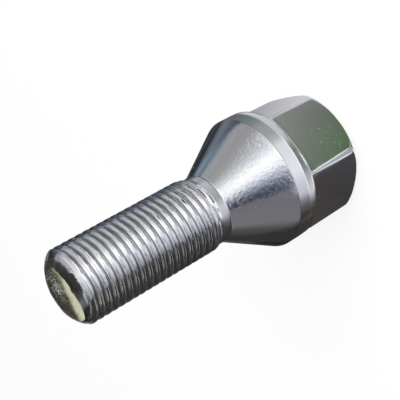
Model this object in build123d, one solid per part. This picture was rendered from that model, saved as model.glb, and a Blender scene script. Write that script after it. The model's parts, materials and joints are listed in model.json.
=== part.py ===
# Wheel bolt, forged in one piece from steel: a hexagon head with a crowned end, a round collar, a
# conical seat, a short plain neck and a threaded shank with a chamfered tip.
# Millimetres. +Z runs along the axis from the head to the tip, and the origin is the centre of the
# head's flat end, on which the bolt stands. Two corners of the hexagon lie on the X axis.
# The thread is stood for by a plain cylinder of its outside diameter.
import os
from math import acos, cos, degrees, radians, tan

from build123d import *

# Thread and shank
thread_diameter = 12.0
thread_pitch = 1.25
shank_length = 27.0
neck_length = 1.6
tip_face_diameter = 8.4
tip_chamfer_length = 1.6
tip_edge_radius = 0.4

# Conical seat: the full angle of the cone, and the fillet where it meets the neck
seat_angle = 60.0
seat_root_radius = 0.6

# Collar: how far it stands out past the hexagon's corners, its straight length, its rounded front
# edge, the length over which its back turns into the hexagon, and its swell over each flat there
collar_overhang = 0.18
collar_length = 2.05
collar_edge_radius = 0.25
collar_back_length = 1.55
collar_back_swell = 1.2

# Hexagon for a 19 mm spanner, less its forging allowance. The forged corners are not quite filled,
# and less so towards the end, so each corner is cut back to a narrow land that widens that way.
hex_across_flats = 18.8
hex_length = 11.15
flat_run_out = 0.55
corner_cut_at_collar = 0.08
corner_cut_at_end = 0.21

# Crowned end of the head, measured in from the hexagon's corners
crown_width = 3.1
crown_height = 2.15

# Radii that follow from the sizes above. A rolled thread stands half out of its blank, so the plain
# neck has the diameter of the thread's flank line.
thread_flank_share = 0.6495
thread_radius = thread_diameter / 2
neck_radius = (thread_diameter - thread_flank_share * thread_pitch) / 2
tip_face_radius = tip_face_diameter / 2
flat_radius = hex_across_flats / 2
sharp_corner_radius = flat_radius / cos(radians(30))
corner_radius = sharp_corner_radius - corner_cut_at_collar
end_corner_radius = sharp_corner_radius - corner_cut_at_end
collar_radius = corner_radius + collar_overhang

# Heights above the head's end
run_out_height = hex_length - flat_run_out
collar_back_height = hex_length + collar_back_length
seat_height = collar_back_height + collar_length
neck_height = seat_height + (collar_radius - neck_radius) / tan(radians(seat_angle / 2))
thread_height = neck_height + neck_length + thread_pitch
tip_height = neck_height + shank_length


def rounded(profile, corner, radius):
    """Round the profile's vertex that lies at the given corner."""
    vertex = profile.vertices().sort_by_distance(Vector(*corner))[0]
    return fillet(vertex, radius)


def turned(profile):
    """Turn a profile, drawn as radius and height, about the bolt's axis."""
    return revolve(Plane.XZ * profile, axis=Axis.Z)


def collar_seat_and_shank():
    """Everything forward of the collar's back, as one turned form."""
    seat_edge = (collar_radius, seat_height)
    seat_root = (neck_radius, neck_height)
    tip_edge = (tip_face_radius, tip_height)
    outline = Polyline(
        (0, collar_back_height),
        (collar_radius, collar_back_height),
        seat_edge,
        seat_root,
        (neck_radius, neck_height + neck_length),
        (thread_radius, thread_height),
        (thread_radius, tip_height - tip_chamfer_length),
        tip_edge,
        (0, tip_height),
        close=True,
    )
    profile = make_face(outline)
    profile = rounded(profile, seat_edge, collar_edge_radius)
    profile = rounded(profile, seat_root, seat_root_radius)
    profile = rounded(profile, tip_edge, tip_edge_radius)
    return turned(profile)


def hexagon_with_crown():
    """The hexagon bar, trimmed by a turned blank that gives the crown and the tapered corners."""
    end_face_edge = (end_corner_radius - crown_width, 0)
    crown_edge = (end_corner_radius, crown_height)
    outline = [
        Line((0, 0), end_face_edge),
        TangentArc(end_face_edge, crown_edge, tangent=(1, 0)),
        Polyline(crown_edge, (corner_radius, run_out_height), (0, run_out_height), (0, 0)),
    ]
    blank = turned(make_face(outline))
    hexagon = RegularPolygon(flat_radius, side_count=6, major_radius=False)
    return blank & extrude(hexagon, run_out_height)


def head_section(height, radius, side_radius):
    """A six-sided section with a narrow land at each corner and sides that swell to side_radius."""
    land_angle = 30 - degrees(acos(flat_radius / corner_radius))

    def place(angle, distance):
        return Vector(distance, 0, height).rotate(Axis.Z, angle)

    edges = []
    for corner in range(6):
        start = 60 * corner
        land_end = place(start + land_angle, radius)
        next_land = place(start + 60 - land_angle, radius)
        edges.append(ThreePointArc(place(start - land_angle, radius), place(start, radius), land_end))
        if side_radius > flat_radius:
            edges.append(ThreePointArc(land_end, place(start + 30, side_radius), next_land))
        else:
            edges.append(Line(land_end, next_land))
    return make_face(edges)


def collar_back():
    """The flats run out into the back of the collar, which goes from six-sided to round."""
    flats = head_section(run_out_height, corner_radius, flat_radius)
    swell = head_section(hex_length, corner_radius, flat_radius + collar_back_swell)
    collar = head_section(collar_back_height, collar_radius, collar_radius)
    return loft([flats, swell], ruled=True) + loft([swell, collar], ruled=True)


wheel_bolt = hexagon_with_crown() + collar_back() + collar_seat_and_shank()

os.makedirs("parts", exist_ok=True)
export_step(wheel_bolt, "parts/wheel_bolt.step")
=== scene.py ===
import json
from math import acos, atan2, cos, pi, radians, sin, tan

import bpy
import numpy as np
from mathutils import Matrix, Vector, noise


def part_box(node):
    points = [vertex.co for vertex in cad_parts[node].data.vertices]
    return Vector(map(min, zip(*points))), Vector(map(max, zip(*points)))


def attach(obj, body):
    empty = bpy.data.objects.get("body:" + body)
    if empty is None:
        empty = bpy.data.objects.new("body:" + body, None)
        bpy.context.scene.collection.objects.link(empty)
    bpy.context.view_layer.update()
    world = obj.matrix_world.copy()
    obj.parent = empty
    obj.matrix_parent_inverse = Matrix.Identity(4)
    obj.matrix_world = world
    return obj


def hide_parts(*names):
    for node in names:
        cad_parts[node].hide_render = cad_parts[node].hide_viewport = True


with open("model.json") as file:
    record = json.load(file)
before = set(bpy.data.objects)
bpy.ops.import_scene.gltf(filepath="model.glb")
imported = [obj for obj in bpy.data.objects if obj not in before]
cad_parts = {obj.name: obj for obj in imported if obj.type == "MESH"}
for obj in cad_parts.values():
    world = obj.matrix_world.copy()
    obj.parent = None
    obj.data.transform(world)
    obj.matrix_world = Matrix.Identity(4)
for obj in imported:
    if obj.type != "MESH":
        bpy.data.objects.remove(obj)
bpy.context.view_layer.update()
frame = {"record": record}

# Head, collar, seat and neck.
# On the real bolt they are one steel forging: a round blank is upset and coned, and its end is pressed
# into a hexagon whose corners do not quite fill. Here the blank is turned and its flats are pressed in.
mm = 0.001
high_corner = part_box("wheel_bolt")[1]
tip_height = high_corner.z
collar_radius = high_corner.x
mounts = {row["name"]: row for row in frame["record"]["mounts"]}
thread_radius = mounts["thread"]["dims"]["r_mm"] * mm
thread_pitch = 1.25 * mm
# A rolled thread stands half out of its blank, so the neck has the radius of the thread's flank line.
flank_share = 0.6495
neck_radius = thread_radius - flank_share * thread_pitch / 2

# The hexagon, its crowned end, and the corners that fill less towards that end.
side_turn = pi / 3
flat_radius = 9.4 * mm
corner_cut_at_collar = 0.08 * mm
corner_cut_at_end = 0.21 * mm
sharp_corner_radius = flat_radius / cos(side_turn / 2)
corner_radius = sharp_corner_radius - corner_cut_at_collar
end_corner_radius = sharp_corner_radius - corner_cut_at_end
crown_width = 3.1 * mm
crown_height = 2.15 * mm
crown_steps = 16
end_face_radius = end_corner_radius - crown_width
run_out_height = 10.6 * mm
hex_height = 11.15 * mm
hex_slip = 0.15 * mm

# The pressed edge reaches further into the collar's back at the middle of each flat, and has a low lip.
flat_bite = 0.25 * mm
lip_height = 0.03 * mm
lip_width = 0.06 * mm
pressed_edge_radius = 0.05 * mm

# The collar with its narrow back strip and its back edge, which carries a painted highlight, the 60 degree
# seat and the plain neck.
collar_back_height = 12.55 * mm
back_lean = radians(2)
strip_radius = collar_radius - (collar_back_height - hex_height) * tan(back_lean)
strip_step_height = hex_height - 0.1 * mm
pressed_top = collar_back_height - 0.2 * mm
back_edge_radius = 0.08 * mm
# The band of painted highlight on the collar's back edge ends here.
highlight_band_top = collar_back_height + 0.16 * mm
seat_height = 14.75 * mm
seat_slope = tan(radians(30))
collar_edge_radius = 0.25 * mm
seat_root_radius = 0.6 * mm
neck_height = seat_height + (collar_radius - neck_radius) / seat_slope
neck_end_height = neck_height + 1.3 * mm

forging_columns = 288
corner_crowding = 0.85
weld_reach = 0.002 * mm


def straight(start, end, steps):
    """Points of a straight stretch, without its first point."""
    shares = np.linspace(0, 1, steps + 1)[1:]
    return [(start[0] + s * (end[0] - start[0]), start[1] + s * (end[1] - start[1])) for s in shares]


def rounded(before, corner, after, radius, steps):
    """Points of an arc that rounds the corner between two straight stretches."""
    corner = Vector(corner)
    into = (Vector(before) - corner).normalized()
    out = (Vector(after) - corner).normalized()
    half_turn = into.angle(out) / 2
    reach = radius / tan(half_turn)
    centre = corner + (into + out).normalized() * radius / sin(half_turn)
    first = corner + into * reach - centre
    last = corner + out * reach - centre
    points = []
    for step in range(steps + 1):
        spoke = first.slerp(last, step / steps) * radius
        points.append(tuple(centre + spoke))
    return points


def draw(name, points, lift):
    """Draw a half section, lifted along the axis, by extruding one vertex; edit mode stays on."""
    bpy.ops.object.select_all(action="DESELECT")
    bpy.ops.mesh.primitive_plane_add(size=mm)
    piece = bpy.context.object
    piece.name = name
    bpy.ops.object.mode_set(mode="EDIT")
    bpy.ops.mesh.merge(type="CENTER")
    bpy.ops.transform.translate(value=(points[0][0], 0, points[0][1] + lift))
    for start, end in zip(points, points[1:]):
        step = (end[0] - start[0], 0, end[1] - start[1])
        bpy.ops.mesh.extrude_region_move(TRANSFORM_OT_translate={"value": step})
    return piece


def weld():
    """In edit mode, join the points that meet and turn the faces outwards; edit mode ends."""
    bpy.ops.mesh.select_all(action="SELECT")
    bpy.ops.mesh.remove_doubles(threshold=weld_reach)
    bpy.ops.mesh.normals_make_consistent(inside=False)
    bpy.ops.object.mode_set(mode="OBJECT")


def places(piece):
    """The piece's points as radius, angle and height."""
    co = np.zeros(len(piece.data.vertices) * 3)
    piece.data.vertices.foreach_get("co", co)
    co = co.reshape(-1, 3)
    return np.hypot(co[:, 0], co[:, 1]), np.arctan2(co[:, 1], co[:, 0]), co[:, 2]


def place(piece, radius, angle, height):
    """Move the piece's points to the given radius, angle and height."""
    co = np.stack([radius * np.cos(angle), radius * np.sin(angle), height], 1)
    piece.data.vertices.foreach_set("co", co.ravel())
    piece.data.update()


def soft_least(first, second, blend):
    """The lesser of two lengths, with the crease between them rounded over the blend."""
    near = np.clip(0.5 + 0.5 * (second - first) / blend, 0, 1)
    return second + (first - second) * near - blend * near * (1 - near)


crown_radius = ((end_corner_radius - end_face_radius) ** 2 + crown_height**2) / (2 * crown_height)
crown_sweep = acos(1 - crown_height / crown_radius)
crown = []
for share in np.linspace(0, 1, crown_steps + 1):
    lean = share * crown_sweep
    crown.append((end_face_radius + crown_radius * sin(lean), crown_radius * (1 - cos(lean))))
run_out_start = (corner_radius, run_out_height)
corner_end = (corner_radius, strip_step_height)
strip_edge = (strip_radius, hex_height)
collar_back = (collar_radius, collar_back_height)
highlight_band_end = (collar_radius, highlight_band_top)
seat_edge = (collar_radius, seat_height)
seat_root = (neck_radius, neck_height)
neck_end = (neck_radius, neck_end_height)
back_edge = rounded(strip_edge, collar_back, seat_edge, back_edge_radius, 4)
front_edge = rounded(collar_back, seat_edge, seat_root, collar_edge_radius, 5)
root_fillet = rounded(seat_edge, seat_root, neck_end, seat_root_radius, 8)
half_section = [(0, 0)]
half_section += straight((0, 0), crown[0], 6)
half_section += crown[1:]
half_section += straight(crown[-1], run_out_start, 8)
half_section += straight(run_out_start, corner_end, 7)
half_section += straight(corner_end, strip_edge, 3)
half_section += straight(strip_edge, back_edge[0], 24)
half_section += back_edge[1:]
half_section += [highlight_band_end]
half_section += straight(highlight_band_end, front_edge[0], 5)
half_section += front_edge[1:]
half_section += straight(front_edge[-1], root_fillet[0], 10)
half_section += root_fillet[1:]
half_section += straight(root_fillet[-1], neck_end, 4)
bolt = draw("wheel_bolt_plated", half_section, 0)
bpy.ops.mesh.select_all(action="SELECT")
bpy.ops.mesh.spin(steps=forging_columns, angle=2 * pi, center=(0, 0, 0), axis=(0, 0, 1))
weld()

# The flats are pressed into the turned blank. Its columns crowd towards the corners, each flat runs out
# in a curve into the collar's back, and the hexagon ends up a little off the shank's axis.
radius, angle, height = places(bolt)
angle = angle - corner_crowding / 6 * np.sin(6 * angle)
from_flat = np.mod(angle, side_turn) - side_turn / 2
flat_reach = flat_radius / np.cos(from_flat)
edge_height = hex_height + flat_bite * np.cos(3 * from_flat) ** 2
run_out = np.clip((height - run_out_height) / (edge_height - run_out_height), 0, 1)
pressed_reach = flat_reach + (np.maximum(strip_radius, flat_reach) - flat_reach) * run_out**2
past_lip = (height - edge_height - lip_width) / lip_width
pressed_reach = pressed_reach + lip_height * np.exp(-(past_lip**2))
clear_of_press = height > edge_height + 4 * lip_width
pressed_reach = np.where(clear_of_press, 2 * collar_radius, pressed_reach)
pressed_radius = soft_least(radius, pressed_reach, pressed_edge_radius)
radius = np.where((height < pressed_top) & (radius > 0), pressed_radius, radius)
slip = hex_slip * np.clip((hex_height - height) / (hex_height - run_out_height), 0, 1)
slipped_x = radius * np.cos(angle)
slipped_y = radius * np.sin(angle) - slip
place(bolt, np.hypot(slipped_x, slipped_y), np.arctan2(slipped_y, slipped_x), height)

# Thread.
# It is rolled between dies into the plain shank, so its crests are the steel that its grooves pushed
# out, and it fades into the neck where the dies are relieved. Right-handed, 60 degrees, 1.25 mm pitch.
thread_columns = 150
spare_turns = 3
groove_depth = 0.48 * mm
root_radius = thread_radius - groove_depth
crest_width = 0.43 * mm
root_width = 0.12 * mm
crest_round = 0.05 * mm
leading_round = 0.13 * mm
root_round = 0.04 * mm
flank_swell = 0.01 * mm
fade_start = neck_height + 1.25 * mm
fade_end = neck_height + 2.9 * mm

root_low = (root_radius, 0)
flank_foot = (root_radius, root_width / 2)
flank_top = (thread_radius, (thread_pitch - crest_width) / 2)
crest_end = (thread_radius, (thread_pitch + crest_width) / 2)
far_foot = (root_radius, thread_pitch - root_width / 2)
root_high = (root_radius, thread_pitch)
rising_foot = rounded(root_low, flank_foot, flank_top, root_round, 2)
rising_top = rounded(flank_foot, flank_top, crest_end, crest_round, 3)
falling_top = rounded(flank_top, crest_end, far_foot, leading_round, 4)
falling_foot = rounded(crest_end, far_foot, root_high, root_round, 2)


def swelled(start, end, swell, steps):
    """Points of a stretch that bulges a little to its right, without its ends."""
    points = []
    along = (Vector(end) - Vector(start)).normalized()
    for share in np.linspace(0, 1, steps + 1)[1:-1]:
        bulge = swell * 4 * share * (1 - share)
        points.append((
            start[0] + share * (end[0] - start[0]) + bulge * along.y,
            start[1] + share * (end[1] - start[1]) - bulge * along.x,
        ))
    return points


ridge = [root_low]
ridge += rising_foot
ridge += swelled(rising_foot[-1], rising_top[0], flank_swell, 3)
ridge += rising_top
ridge += falling_top
ridge += swelled(falling_top[-1], falling_foot[0], flank_swell, 3)
ridge += falling_foot
ridge += [root_high]

# A crest near the camera's side stands at crest_height, so the ridge starts whole turns below it.
camera_place = Vector((125.626, 38.145, 102.179)) * mm
facing = atan2(camera_place.y, camera_place.x)
crest_height = 29.5 * mm
crest_side = facing + radians(8)
thread_low = neck_height - thread_pitch
first_ridge = crest_height - (crest_side / (2 * pi) + 0.5) * thread_pitch
first_ridge -= thread_pitch * (1 + int((first_ridge - thread_low) / thread_pitch))
thread = draw("thread", ridge, first_ridge)
bpy.ops.object.mode_set(mode="OBJECT")
bpy.ops.object.modifier_add(type="SCREW")
screw = thread.modifiers[-1]
screw.axis = "Z"
screw.angle = 2 * pi
screw.screw_offset = thread_pitch
screw.steps = thread_columns
screw.render_steps = thread_columns
screw.iterations = spare_turns + int((tip_height - thread_low) / thread_pitch)
bpy.ops.object.modifier_apply(modifier=screw.name)
bpy.ops.object.mode_set(mode="EDIT")
weld()

# Rolling leaves the crests, the top third of the ridge, a little wavy and nicked. Each row is the size
# of the waves and a number that sets one pattern apart from the other.
wave_pattern = (1.1 * mm, 3.0)
nick_pattern = (0.5 * mm, 11.0)
wave_height = 0.015 * mm
nick_depth = 0.06 * mm
nick_start = 0.25
crest_sway = 0.06 * mm

# The sheared tip: its chamfer is shorter and fuller on some sides than on others, and its end face is
# flattened, drawn out and ragged. Each swell is its height, the side it is on and its spread, in degrees
# from the camera's side, and each row of teeth is their height, their number and where they start.
tip_chamfer_length = 1.6 * mm
short_chamfer = (0.5 * mm, 20, 50)
chamfer_fullness = 1.55
near_slack = 0.3
slack_sides = (0.38, 100, 40)
lead_in_blend = 0.06 * mm
tip_face_radius = 3.5 * mm
flattened_side = (0.35 * mm, 5, 35)
drawn_out_sides = ((1.9 * mm, -62, 30), (0.55 * mm, 95, 22))
ragged_teeth = ((0.09 * mm, 7, 0), (0.05 * mm, 17, 1))
least_radius = 1.0 * mm


def unevenness(radius, angle, height, pattern):
    """A smooth wandering value between -1 and 1 at each point."""
    size, shift = pattern
    values = []
    for r, a, z in zip(radius, angle, height):
        values.append(noise.noise(Vector((r * cos(a) / size + shift, r * sin(a) / size, z / size))))
    return np.array(values)


def swell_at(turned, swell):
    """The height of a swell round the tip at each angle from the camera's side."""
    top, side, spread = swell
    return top * np.exp(-(((turned - radians(side)) / radians(spread)) ** 2))


radius, angle, height = places(thread)
depth = np.clip((thread_radius - radius) / groove_depth, 0, 1)
crest_share = np.clip(1 - 3 * depth, 0, 1)
waves = unevenness(radius, angle, height, wave_pattern)
nicks = unevenness(radius, angle, height, nick_pattern)
radius = radius + crest_share * (wave_height * waves - nick_depth * np.clip(nicks - nick_start, 0, 1))
height = height + crest_sway * crest_share * nicks
fade = np.clip((height - fade_start) / (fade_end - fade_start), 0, 1)
fade = fade * fade * (3 - 2 * fade)
radius = neck_radius + (radius - neck_radius) * fade
turned = np.mod(angle - facing + pi, 2 * pi) - pi
tip_chamfer = tip_chamfer_length - swell_at(turned, short_chamfer)
tip_fullness = chamfer_fullness - near_slack * np.cos(turned) - swell_at(np.abs(turned), slack_sides)
past_thread = np.clip(1 - (tip_height - height) / tip_chamfer, 0, 1)
drawn_out = sum(swell_at(turned, swell) for swell in drawn_out_sides)
ragged = sum(top * np.sin(number * turned + start) for top, number, start in ragged_teeth)
rim = tip_face_radius - swell_at(turned, flattened_side) + drawn_out + ragged
tip_reach = rim + (thread_radius - rim) * (1 - past_thread**tip_fullness) ** (1 / tip_fullness)
radius = np.where(past_thread > 0, soft_least(radius, tip_reach, lead_in_blend), radius)
place(thread, np.maximum(radius, least_radius), angle, height)
# How deep each point lies in its groove, used by the plating for painted shade at the groove roots.
groove_shade_mask = thread.data.attributes.new("groove_shade_mask", "FLOAT", "POINT")
groove_shade_mask.data.foreach_set("value", np.clip(depth * fade * (1 - past_thread), 0, 1))

# The bar was sheared off flat at the tip, and the neck takes over at the thread's other end.
neck_cut = neck_end_height + 0.1 * mm
cut_reach = 0.0001 * mm
sliver_reach = 0.012 * mm
bpy.ops.object.mode_set(mode="EDIT")
bpy.ops.mesh.select_all(action="SELECT")
bpy.ops.mesh.bisect(
    plane_co=(0, 0, tip_height), plane_no=(0, 0, 1), clear_outer=True, use_fill=True, threshold=cut_reach
)
bpy.ops.mesh.mark_sharp()
bpy.ops.mesh.select_all(action="SELECT")
bpy.ops.mesh.bisect(
    plane_co=(0, 0, neck_cut), plane_no=(0, 0, -1), clear_outer=True, threshold=cut_reach
)
bpy.ops.mesh.remove_doubles(threshold=sliver_reach)
bpy.ops.object.mode_set(mode="OBJECT")

bpy.ops.object.select_all(action="DESELECT")
for piece in (thread, bolt):
    piece.select_set(True)
bpy.context.view_layer.objects.active = bolt
bpy.ops.object.join()
bpy.ops.object.mode_set(mode="EDIT")
bpy.ops.mesh.select_mode(type="EDGE")
bpy.ops.mesh.select_all(action="DESELECT")
bpy.ops.mesh.select_non_manifold(
    extend=False, use_wire=False, use_multi_face=False, use_non_contiguous=False, use_verts=False
)
bpy.ops.mesh.bridge_edge_loops()
bpy.ops.mesh.select_all(action="SELECT")
bpy.ops.mesh.normals_make_consistent(inside=False)
bpy.ops.object.mode_set(mode="OBJECT")
bpy.ops.object.shade_smooth()
bpy.ops.object.modifier_add(type="WEIGHTED_NORMAL")
even = bolt.modifiers[-1]
even.mode = "FACE_AREA"
even.weight = 50
even.keep_sharp = True
bpy.ops.object.modifier_apply(modifier=even.name)

# Plating.
# A thin bright metal coat over the whole bolt: nearly a mirror on the flats, with a painted highlight on
# the collar's back edge, grainy on the seat, with painted shade at the bottom of the grooves, dark on the
# tip's lead-in and specked on the sheared end.
noise_range = (0.3, 0.7)
speck_edge = (0.73, 0.8)
bare_metal = 0.4


def plating(name, colour, roughness, grains, specks):
    """Bright metal; each grain is its sizes along X, Y and Z and its height, and the first one dulls it.

    Bare dull specks are given by their size, and crowd round a place by its reach and their share there.
    """
    material = bpy.data.materials.new(name)
    material.use_nodes = True
    nodes, links = material.node_tree.nodes, material.node_tree.links
    shader = nodes["Principled BSDF"]
    shader.inputs["Base Color"].default_value = (*colour, 1)
    where = nodes.new("ShaderNodeTexCoord")
    gloss = nodes.new("ShaderNodeMapRange")
    gloss.inputs["From Min"].default_value = noise_range[0]
    gloss.inputs["From Max"].default_value = noise_range[1]
    gloss.inputs["To Min"].default_value = roughness[0]
    gloss.inputs["To Max"].default_value = roughness[1]
    links.new(gloss.outputs["Result"], shader.inputs["Roughness"])
    above = None
    for sizes, height in grains:
        stretch = nodes.new("ShaderNodeMapping")
        stretch.inputs["Scale"].default_value = [1 / size for size in sizes]
        links.new(where.outputs["Object"], stretch.inputs["Vector"])
        grain = nodes.new("ShaderNodeTexNoise")
        grain.inputs["Scale"].default_value = 1.0
        grain.inputs["Detail"].default_value = 3.0
        links.new(stretch.outputs["Vector"], grain.inputs["Vector"])
        bump = nodes.new("ShaderNodeBump")
        bump.inputs["Distance"].default_value = height
        links.new(grain.outputs["Fac"], bump.inputs["Height"])
        if above is None:
            links.new(grain.outputs["Fac"], gloss.inputs["Value"])
        else:
            links.new(above.outputs["Normal"], bump.inputs["Normal"])
        above = bump
    links.new(above.outputs["Normal"], shader.inputs["Normal"])
    size, centre, reach, share = specks
    apart = nodes.new("ShaderNodeVectorMath")
    apart.operation = "DISTANCE"
    apart.inputs[1].default_value = centre
    links.new(where.outputs["Object"], apart.inputs[0])
    crowd = nodes.new("ShaderNodeMapRange")
    crowd.inputs["From Min"].default_value = reach
    crowd.inputs["From Max"].default_value = 0
    crowd.inputs["To Max"].default_value = share
    links.new(apart.outputs["Value"], crowd.inputs["Value"])
    speck = nodes.new("ShaderNodeTexNoise")
    speck.inputs["Scale"].default_value = 1 / size
    speck.inputs["Distortion"].default_value = 1.0
    links.new(where.outputs["Object"], speck.inputs["Vector"])
    total = nodes.new("ShaderNodeMath")
    links.new(crowd.outputs["Result"], total.inputs[0])
    links.new(speck.outputs["Fac"], total.inputs[1])
    bare = nodes.new("ShaderNodeMapRange")
    bare.inputs["From Min"].default_value = speck_edge[0]
    bare.inputs["From Max"].default_value = speck_edge[1]
    bare.inputs["To Min"].default_value = 1.0
    bare.inputs["To Max"].default_value = bare_metal
    links.new(total.outputs["Value"], bare.inputs["Value"])
    links.new(bare.outputs["Result"], shader.inputs["Metallic"])
    return material


def even_grain(size, height):
    """A grain of one size in all directions."""
    return ((size, size, size), height)


steel = (0.70, 0.70, 0.71)
rolled_steel = (0.88, 0.88, 0.89)
highlight_white = (0.97, 0.97, 0.97)
dark_steel = (0.22, 0.22, 0.22)
towards_camera = Vector((cos(facing), sin(facing), 0))
across = Vector((-sin(facing), cos(facing), 0))
torn_place = (across * 1.1 - towards_camera * 0.7) * mm
torn_place.z = tip_height
flat_specks = (0.28 * mm, (9 * mm, 3.3 * mm, 5 * mm), 5 * mm, 0.1)
few_specks = (0.4 * mm, (0, 0, 20 * mm), mm, 0)
end_specks = (0.24 * mm, torn_place, 3.6 * mm, 0.29)
seat_specks = (0.3 * mm, (9 * mm, 3 * mm, 18 * mm), 7 * mm, 0.08)
forged_grains = (even_grain(1.5 * mm, 0.004 * mm), even_grain(0.25 * mm, 0.0008 * mm))
pressed_grains = (((0.8 * mm, 0.8 * mm, 0.12 * mm), 0.0025 * mm),)
edge_grains = (even_grain(0.8 * mm, 0.002 * mm),)
seat_grains = (((0.5 * mm, 0.5 * mm, 0.7 * mm), 0.04 * mm), even_grain(2 * mm, 0.02 * mm))
thread_grains = (
    ((0.9 * mm, 0.9 * mm, 0.09 * mm), 0.003 * mm),
    ((0.5 * mm, 0.5 * mm, 0.3 * mm), 0.006 * mm),
)
lead_in_grains = (((0.5 * mm, 0.5 * mm, 0.2 * mm), 0.01 * mm),)
end_grains = (even_grain(1.2 * mm, 0.0008 * mm),)
forged = plating("plating_forged", steel, (0.06, 0.12), forged_grains, flat_specks)
pressed = plating("plating_pressed", steel, (0.05, 0.09), pressed_grains, few_specks)
# The band at the collar's back edge gets a near-white copy of the plating: a painted highlight.
edge_highlight_plating = plating("plating_edge_highlight", highlight_white, (0.1, 0.2), edge_grains, few_specks)
seat = plating("plating_seat", steel, (0.08, 0.18), seat_grains, seat_specks)
rolled = plating("plating_thread", rolled_steel, (0.03, 0.08), thread_grains, few_specks)
lead_in = plating("plating_lead_in", dark_steel, (0.28, 0.4), lead_in_grains, few_specks)
sheared = plating("plating_end", steel, (0.03, 0.08), end_grains, end_specks)

# The seat's grain is coarse on one side only, and nearly smooth on the rest.
coarse_side = facing + radians(14)
coarse_reach = radians(22)
smooth_from = radians(40)
smooth_strength = 0.2
nodes, links = seat.node_tree.nodes, seat.node_tree.links
where = nodes.new("ShaderNodeTexCoord")
level = nodes.new("ShaderNodeVectorMath")
level.operation = "MULTIPLY"
level.inputs[1].default_value = (1, 1, 0)
links.new(where.outputs["Object"], level.inputs[0])
outwards = nodes.new("ShaderNodeVectorMath")
outwards.operation = "NORMALIZE"
links.new(level.outputs["Vector"], outwards.inputs[0])
towards = nodes.new("ShaderNodeVectorMath")
towards.operation = "DOT_PRODUCT"
towards.inputs[1].default_value = (cos(coarse_side), sin(coarse_side), 0)
links.new(outwards.outputs["Vector"], towards.inputs[0])
coarse = nodes.new("ShaderNodeMapRange")
coarse.inputs["From Min"].default_value = cos(smooth_from)
coarse.inputs["From Max"].default_value = cos(coarse_reach)
coarse.inputs["To Min"].default_value = smooth_strength
links.new(towards.outputs["Value"], coarse.inputs["Value"])
for node in nodes:
    if node.type == "BUMP":
        links.new(coarse.outputs["Result"], node.inputs["Strength"])

# The lowest part of each groove is painted darker: painted shade in the grooves.
groove_shade_start = 0.7
groove_shade_steel = (0.36, 0.36, 0.36)
nodes, links = rolled.node_tree.nodes, rolled.node_tree.links
# This node reads the groove depth that sets the painted shade.
dull = nodes.new("ShaderNodeAttribute")
dull.attribute_name = "groove_shade_mask"
groove_shade_ramp = nodes.new("ShaderNodeValToRGB")
crest_stop, root_shade_stop = groove_shade_ramp.color_ramp.elements
crest_stop.position = groove_shade_start
crest_stop.color = (*rolled_steel, 1)
root_shade_stop.color = (*groove_shade_steel, 1)
links.new(dull.outputs["Fac"], groove_shade_ramp.inputs["Fac"])
links.new(groove_shade_ramp.outputs["Color"], nodes["Principled BSDF"].inputs["Base Color"])

# Each finish reaches up to a height above the head's end.
finishes = (forged, pressed, seat, rolled, sheared, lead_in, edge_highlight_plating)
finish_tops = (
    (hex_height, forged), (collar_back_height - 0.06 * mm, pressed), (highlight_band_top, edge_highlight_plating),
    (seat_height - 0.1 * mm, forged), (neck_height - 0.2 * mm, seat), (tip_height - 0.8 * mm, rolled),
    (tip_height - 0.5 * mm, seat), (tip_height - 0.001 * mm, lead_in), (2 * tip_height, sheared),
)
bolt.data.materials.clear()
for finish in finishes:
    bolt.data.materials.append(finish)
for face in bolt.data.polygons:
    face_finish = next(finish for top, finish in finish_tops if face.center.z < top)
    face.material_index = finishes.index(face_finish)
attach(bolt, "root")
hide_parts("wheel_bolt")

# Floor.
# A plain white board that the bolt stands on. It is white to the camera and in the plating's
# reflections, and only a soft part of the bolt's shadow shows on it.
board_size = 3.0
board_white = (0.9, 0.9, 0.9, 1)
clean_share = 0.85
bpy.ops.object.select_all(action="DESELECT")
bpy.ops.mesh.primitive_plane_add(size=board_size)
floor = bpy.context.object
floor.name = "floor"
floor_paint = bpy.data.materials.new("floor_paint")
floor_paint.use_nodes = True
nodes, links = floor_paint.node_tree.nodes, floor_paint.node_tree.links
paint = nodes["Principled BSDF"]
paint.inputs["Base Color"].default_value = board_white
paint.inputs["Roughness"].default_value = 0.8
path = nodes.new("ShaderNodeLightPath")
seen = path.outputs["Is Camera Ray"]
for ray in ("Is Glossy Ray", "Is Transmission Ray"):
    either = nodes.new("ShaderNodeMath")
    either.operation = "MAXIMUM"
    links.new(seen, either.inputs[0])
    links.new(path.outputs[ray], either.inputs[1])
    seen = either.outputs[0]
clean = nodes.new("ShaderNodeMath")
clean.operation = "MULTIPLY"
clean.inputs[1].default_value = clean_share
links.new(seen, clean.inputs[0])
white = nodes.new("ShaderNodeEmission")
mix = nodes.new("ShaderNodeMixShader")
links.new(clean.outputs[0], mix.inputs["Fac"])
links.new(paint.outputs["BSDF"], mix.inputs[1])
links.new(white.outputs["Emission"], mix.inputs[2])
links.new(mix.outputs["Shader"], nodes["Material Output"].inputs["Surface"])
floor.data.materials.append(floor_paint)

# Light tent.
# The bolt stands in a small tent of white, grey and dark cloth, with cards laid round its foot, as shiny
# metal is photographed. Only the tent's reflections show: it hides and lights nothing else.
tent_radius = 70 * mm
tent_height = 79.3 * mm
lining_radius = tent_radius - mm
ground = 0.1 * mm
cloth_step = 1.5


def spot(radius, azimuth, height):
    """A place round the bolt: its distance from the axis, azimuth from the camera and height."""
    turned = facing + radians(azimuth)
    return (radius * cos(turned), radius * sin(turned), height)


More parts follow.
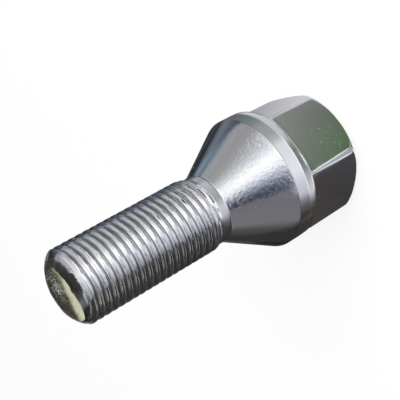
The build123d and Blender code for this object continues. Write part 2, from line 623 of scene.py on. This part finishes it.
def cloth(name, near_edge, far_edge, near_tones, far_tones):
    """Hang a strip of cloth between two edges, toned along them, that shows in reflections only."""
    count = len(near_edge)
    faces = [(i, i + 1, count + i + 1, count + i) for i in range(count - 1)]
    mesh = bpy.data.meshes.new(name)
    mesh.from_pydata(list(near_edge) + list(far_edge), [], faces)
    tones = mesh.attributes.new("tone", "FLOAT_COLOR", "POINT")
    for point, tone in zip(tones.data, list(near_tones) + list(far_tones)):
        point.color = (*tone, 1)
    material = bpy.data.materials.new(name)
    material.use_nodes = True
    nodes, links = material.node_tree.nodes, material.node_tree.links
    nodes.remove(nodes["Principled BSDF"])
    tone = nodes.new("ShaderNodeAttribute")
    tone.attribute_name = "tone"
    glow = nodes.new("ShaderNodeEmission")
    links.new(tone.outputs["Color"], glow.inputs["Color"])
    links.new(glow.outputs["Emission"], nodes["Material Output"].inputs["Surface"])
    mesh.materials.append(material)
    piece = bpy.data.objects.new(name, mesh)
    bpy.context.collection.objects.link(piece)
    piece.visible_camera = False
    piece.visible_diffuse = False
    piece.visible_transmission = False
    piece.visible_volume_scatter = False
    piece.visible_shadow = False


def tones_at(azimuths, stops):
    """Blend the tones of the nearest stops at each azimuth along a cloth."""
    at = [stop[0] for stop in stops]
    return np.stack([np.interp(azimuths, at, [stop[1][c] for stop in stops]) for c in range(3)], 1)


def round_cloth(name, near, far, stops, far_stops=None):
    """Hang a cloth round the bolt between two arcs, each a radius and a height, toned by azimuth."""
    azimuths = np.arange(stops[0][0], stops[-1][0] + cloth_step, cloth_step)
    near_edge = [spot(near[0], azimuth, near[1]) for azimuth in azimuths]
    far_edge = [spot(far[0], azimuth, far[1]) for azimuth in azimuths]
    cloth(name, near_edge, far_edge, tones_at(azimuths, stops), tones_at(azimuths, far_stops or stops))


def lining(name, low, high, stops, far_stops=None):
    """Hang a cloth inside the tent's wall, between two heights."""
    round_cloth(name, (lining_radius, low), (lining_radius, high), stops, far_stops)


def grey(tone):
    """A neutral tone."""
    return (tone, tone, tone)


wall_stops = (
    (-180, grey(0.25)), (-158, grey(0.2)), (-148, grey(0.05)), (-138, grey(0.03)),
    (-100, (0.10, 0.095, 0.10)), (-85, (0.23, 0.23, 0.24)), (-36, (0.2, 0.195, 0.23)),
    (-35, (0.05, 0.06, 0.09)), (-24, (0.06, 0.07, 0.11)), (-15, (0.22, 0.25, 0.33)),
    (-5, (0.60, 0.66, 0.78)), (8, (1.3, 1.34, 1.38)), (20, grey(1.5)), (39, (0.8, 0.82, 0.9)),
    (60, grey(0.46)), (80, grey(0.4)), (92, (0.44, 0.46, 0.50)), (100, (0.32, 0.36, 0.42)),
    (104, (0.16, 0.22, 0.28)), (118, (0.30, 0.39, 0.48)), (126, (0.2, 0.25, 0.32)),
    (131, (0.03, 0.04, 0.055)), (148, grey(0.03)), (158, grey(0.2)), (180, grey(0.25)),
)
round_cloth("tent_wall", (tent_radius, 0), (tent_radius, tent_height), wall_stops)

# Three rings of cloth lie on the floor, dark behind the bolt, and show in the collar, neck and thread.
dark_from = ((-180, grey(0.1)), (-160, grey(0.08)))
dark_to = ((160, grey(0.08)), (180, grey(0.1)))
collar_front = (
    (-145, grey(0.04)), (-80, (0.06, 0.055, 0.05)), (-66, (0.14, 0.14, 0.15)), (-57, (0.28, 0.29, 0.33)),
    (-47, (0.70, 0.72, 0.80)), (-30, (0.84, 0.87, 0.92)), (-14, (1.08, 1.12, 1.17)),
    (26, (0.97, 1.0, 1.05)), (36, (0.63, 0.64, 0.68)), (46, (0.46, 0.48, 0.50)), (66, (0.41, 0.42, 0.44)),
    (77, (0.27, 0.32, 0.32)), (98, (0.19, 0.23, 0.24)), (130, (0.125, 0.125, 0.165)),
    (142, (0.24, 0.24, 0.28)),
)
neck_front = (
    (-145, grey(0.03)), (-87, grey(0.05)), (-64, (0.14, 0.14, 0.16)), (-40, (0.54, 0.56, 0.62)),
    (-15, (0.62, 0.65, 0.70)), (14, (0.38, 0.38, 0.40)), (46, (0.46, 0.48, 0.5)), (75, (0.51, 0.54, 0.56)),
    (90, (0.30, 0.36, 0.37)), (110, (0.40, 0.42, 0.45)), (133, (0.10, 0.11, 0.13)), (148, grey(0.03)),
)
crest_front = (
    (-70, (0.03, 0.028, 0.023)), (-53, (0.07, 0.07, 0.075)), (-41, (0.29, 0.295, 0.33)),
    (-29, (0.54, 0.56, 0.62)), (-18, (0.72, 0.74, 0.80)), (-5, (0.72, 0.74, 0.80)), (4, (0.42, 0.44, 0.47)),
    (18, (0.38, 0.40, 0.42)), (53, (0.21, 0.22, 0.24)), (80, (0.1, 0.11, 0.13)),
)
crest_back = ((112, (0.065, 0.075, 0.09)), (148, (0.06, 0.065, 0.075)))
crest_stops = dark_from + ((-145, grey(0.02)),) + crest_front + crest_back + dark_to
ring_radii = (9 * mm, 36 * mm, 50 * mm, lining_radius)
rings = (
    ("tent_collar", dark_from + collar_front + dark_to),
    ("tent_neck", dark_from + neck_front + dark_to),
    ("tent_crests", crest_stops),
)
for (name, stops), inner, outer in zip(rings, ring_radii, ring_radii[1:]):
    round_cloth(name, (inner, ground), (outer, ground), stops)

# Lining cloths hang inside the wall, each at the heights that one part of the thread or seat shows.
lining("tent_skirt", ground, 19 * mm, ((-145, grey(0.045)), (-90, grey(0.04))) + crest_front + (
    (102, (0.1, 0.11, 0.14)), (108, (0.12, 0.15, 0.19)), (118, (0.2, 0.24, 0.28)),
    (125, (0.15, 0.18, 0.21)), (131, (0.03, 0.04, 0.055)), (148, grey(0.03)),
))
lining("tent_flanks", 20 * mm, 35 * mm, (
    (-48, (0.33, 0.33, 0.36)), (-29, (0.76, 0.78, 0.86)), (-5, (0.96, 0.99, 1.06)), (-3, grey(1.35)),
    (30, grey(1.4)), (41, (1.05, 1.07, 1.09)), (62, (0.63, 0.67, 0.67)),
))
lining("tent_shoulder", 37 * mm, tent_height, (
    (80, (0.48, 0.52, 0.52)), (101, (0.3, 0.34, 0.35)), (124, (0.11, 0.12, 0.15)),
    (142, (0.06, 0.06, 0.08)),
))
lining("tent_upper", 57 * mm, tent_height, (
    (-50, grey(0.2)), (-29, (0.55, 0.57, 0.62)), (-5, (0.85, 0.88, 0.94)), (-3, grey(1.35)),
    (45, grey(1.0)), (70, grey(0.75)), (85, grey(0.4)),
))
lining("tent_hem", 28 * mm, 37 * mm, (
    (105, (0.17, 0.2, 0.23)), (118, (0.15, 0.17, 0.19)), (131, (0.05, 0.055, 0.06)), (142, grey(0.04)),
))
lining("tick_card", 52 * mm, 63 * mm, (
    (-96, (0.15, 0.14, 0.11)), (-84, (0.75, 0.72, 0.62)), (-58, (0.85, 0.83, 0.78)), (-50, grey(0.2)),
))
lining("tick_shade", 64 * mm, tent_height, (
    (-112, (0.03, 0.028, 0.022)), (-58, (0.06, 0.058, 0.055)), (-51, grey(0.2)),
))
lining("back_flap", 72 * mm, 100 * mm, ((155, (0.05, 0.05, 0.035)), (205, (0.05, 0.05, 0.035))))
notch_stops = (
    (-36, (0.2, 0.195, 0.23)), (-28, (0.18, 0.19, 0.23)), (-16, (0.37, 0.39, 0.46)),
    (-5, (0.70, 0.73, 0.82)), (0, (0.87, 0.92, 1.01)),
)
lining("notch_card", 36 * mm, 46 * mm, notch_stops, wall_stops)

# A narrow strip lies just over the floor in a bow, for the collar's back; it is furthest out in front.
strip_stops = (
    (-80, grey(0.06)), (-66, grey(0.15)), (-57, (0.5, 0.5, 0.54)), (-52, (0.76, 0.77, 0.8)),
    (-42, (0.76, 0.77, 0.8)), (-32, (0.58, 0.59, 0.63)), (-24, (0.5, 0.52, 0.54)),
    (-14, (0.22, 0.25, 0.24)), (13, (0.21, 0.24, 0.22)), (20, (0.34, 0.36, 0.35)), (29, (0.66, 0.67, 0.68)),
    (40, (0.74, 0.75, 0.77)), (98, (0.78, 0.79, 0.82)), (110, (0.7, 0.71, 0.75)), (126, (0.3, 0.31, 0.36)),
)
strip_reach = 21 * mm
strip_bow = 3.7 * mm
strip_bend = 0.75
strip_half_width = 1.1 * mm
strip_height = 0.35 * mm
strip_azimuths = np.arange(-80, 127, cloth_step)
strip_line = strip_reach + strip_bow * np.cos(np.radians(strip_bend * strip_azimuths))
strip_tones = tones_at(strip_azimuths, strip_stops)
cloth(
    "tent_strip",
    [spot(r - strip_half_width, azimuth, strip_height) for r, azimuth in zip(strip_line, strip_azimuths)],
    [spot(r + strip_half_width, azimuth, strip_height) for r, azimuth in zip(strip_line, strip_azimuths)],
    strip_tones, strip_tones,
)

# A cream card stands behind the bolt for its end face. Its lower edge is given by azimuths, and by
# heights in millimetres.
cream = (0.83, 0.83, 0.58)
dim_cream = (0.5, 0.5, 0.34)
cream_radius = tent_radius - 2 * mm
cream_top = 95 * mm
cream_azimuths = (175.4, 176.1, 177.1, 178.2, 180, 182, 184, 187)
cream_heights = (78.05, 78.3, 78.65, 78.9, 78.4, 78.25, 78.0, 77.8)
cream_tones = [dim_cream] * 3 + [cream] * 5
cloth(
    "cream_card",
    [spot(cream_radius, azimuth, z * mm) for azimuth, z in zip(cream_azimuths, cream_heights)],
    [spot(cream_radius, azimuth, cream_top) for azimuth in cream_azimuths],
    cream_tones, cream_tones,
)

# The roof is dark over the bolt and light behind it, with three panels under it for the crests.
roof_height = 150 * mm


def roof_card(name, height, near, far, near_tone, far_tone):
    """Hang a four-cornered card over the bolt; each corner is metres towards the camera and aside."""
    near_edge = [tuple(towards_camera * x + across * y + Vector((0, 0, height))) for x, y in near]
    far_edge = [tuple(towards_camera * x + across * y + Vector((0, 0, height))) for x, y in far]
    cloth(name, near_edge, far_edge, [near_tone] * 2, [far_tone] * 2)


roof_card(
    "dark_roof", roof_height, ((0.25, -0.25), (0.25, 0.25)), ((-0.2, -0.25), (-0.2, 0.25)),
    grey(0.04), grey(0.04),
)
roof_card(
    "light_roof", roof_height, ((-0.2, -0.25), (-0.2, 0.25)), ((-0.6, -0.25), (-0.6, 0.25)),
    grey(0.7), grey(0.7),
)
roof_card(
    "roof_panel", roof_height - mm, ((0.07, 0.008), (-0.008, 0.008)), ((-0.09, 0.24), (-0.16, 0.12)),
    grey(1.0), (0.14, 0.155, 0.18),
)
roof_card(
    "side_panel", roof_height - mm, ((0.15, 0.008), (-0.008, 0.008)), ((0.12, -0.065), (-0.03, -0.065)),
    (0.88, 0.9, 0.97), (0.24, 0.25, 0.28),
)
roof_card(
    "crest_panel", roof_height - 2 * mm, ((0.15, 0.008), (0.035, 0.008)), ((0.15, 0.075), (0.03, 0.055)),
    grey(1.15), grey(0.82),
)

# Coloured cards lie round the foot, for the flats and corners of the head; two lie over the others.
card_height = 0.2 * mm
upper_card_height = 0.3 * mm


def foot_card(name, height, near, far, near_tones, far_tones):
    """Lay a four-cornered card near the floor; each corner is a radius in millimetres and an azimuth."""
    near_edge = [spot(radius * mm, azimuth, height) for radius, azimuth in near]
    far_edge = [spot(radius * mm, azimuth, height) for radius, azimuth in far]
    cloth(name, near_edge, far_edge, near_tones, far_tones)


foot_card(
    "charcoal_card", card_height, ((8, -80), (10.8, -17)), ((32, -95), (22, -68)),
    ((0.055, 0.053, 0.05), (0.078, 0.076, 0.088)), ((0.09, 0.083, 0.072), (0.075, 0.068, 0.072)),
)
foot_card(
    "corner_light", card_height, ((12, -33), (11, -21)), ((25, -53), (25, -31)),
    (grey(1.2), grey(1.2)), (grey(1.0), grey(1.0)),
)
foot_card(
    "green_card", card_height, ((8.5, -29), (8.5, 19)), ((23, 7), (23, 22)),
    ((0.085, 0.185, 0.065), (0.17, 0.21, 0.16)), ((0.18, 0.235, 0.18), (0.27, 0.29, 0.26)),
)
foot_card(
    "olive_card", card_height, ((8.5, 19), (12.6, 42)), ((23, 22), (24.5, 37)),
    ((0.17, 0.21, 0.16), (0.28, 0.29, 0.27)), ((0.27, 0.29, 0.26), (0.33, 0.34, 0.325)),
)
foot_card(
    "corner_card", upper_card_height, ((10.2, -23), (10.2, -8)), ((25, -31), (24, -15)),
    ((0.50, 0.50, 0.56), (0.40, 0.41, 0.45)), ((0.56, 0.56, 0.62), (0.46, 0.47, 0.52)),
)
foot_card(
    "edge_card", card_height, ((9, 42), (9, 80)), ((24.5, 55), (24, 81)),
    ((0.80, 0.80, 0.82), (0.80, 0.80, 0.82)), ((0.74, 0.74, 0.76), (0.74, 0.74, 0.76)),
)
foot_card(
    "pale_card", upper_card_height, ((10.7, 46), (9, 103)), ((15.5, 104), (24, 132)),
    ((0.78, 0.78, 0.80), (0.60, 0.60, 0.64)), ((0.66, 0.67, 0.72), (0.24, 0.26, 0.30)),
)

# Lamps, camera and picture.
# One large soft lamp stands above the camera and to its side, and the room's own light fills the
# shadows. The camera is turned, so that the standing bolt lies slantwise in the picture.
lamp_aim = Vector((0, 0, 0.02))
bpy.ops.object.light_add(type="AREA", location=(0.25, 0.3, 0.35))
key = bpy.context.object
key.name = "key_lamp"
key.data.size = 0.4
key.data.energy = 3.0
key.visible_glossy = False
key.rotation_euler = (lamp_aim - key.location).to_track_quat("-Z", "Y").to_euler()

world = bpy.data.worlds.new("studio")
bpy.context.scene.world = world
world.use_nodes = True
world.node_tree.nodes["Background"].inputs["Color"].default_value = (0.6, 0.6, 0.6, 1)

camera_right = Vector((0.56363, -0.34851, -0.74891)).normalized()
camera_back = Vector((0.82603, 0.23904, 0.51043)).normalized()
camera_up = camera_back.cross(camera_right).normalized()
camera_right = camera_up.cross(camera_back)
bpy.ops.object.camera_add()
camera = bpy.context.object
camera.matrix_world = Matrix((
    (camera_right.x, camera_up.x, camera_back.x, camera_place.x),
    (camera_right.y, camera_up.y, camera_back.y, camera_place.y),
    (camera_right.z, camera_up.z, camera_back.z, camera_place.z),
    (0, 0, 0, 1),
))
camera.data.lens = 90
camera.data.sensor_width = 36
camera.data.clip_start = 0.01
bpy.context.scene.camera = camera
bpy.context.scene.view_settings.view_transform = "Standard"
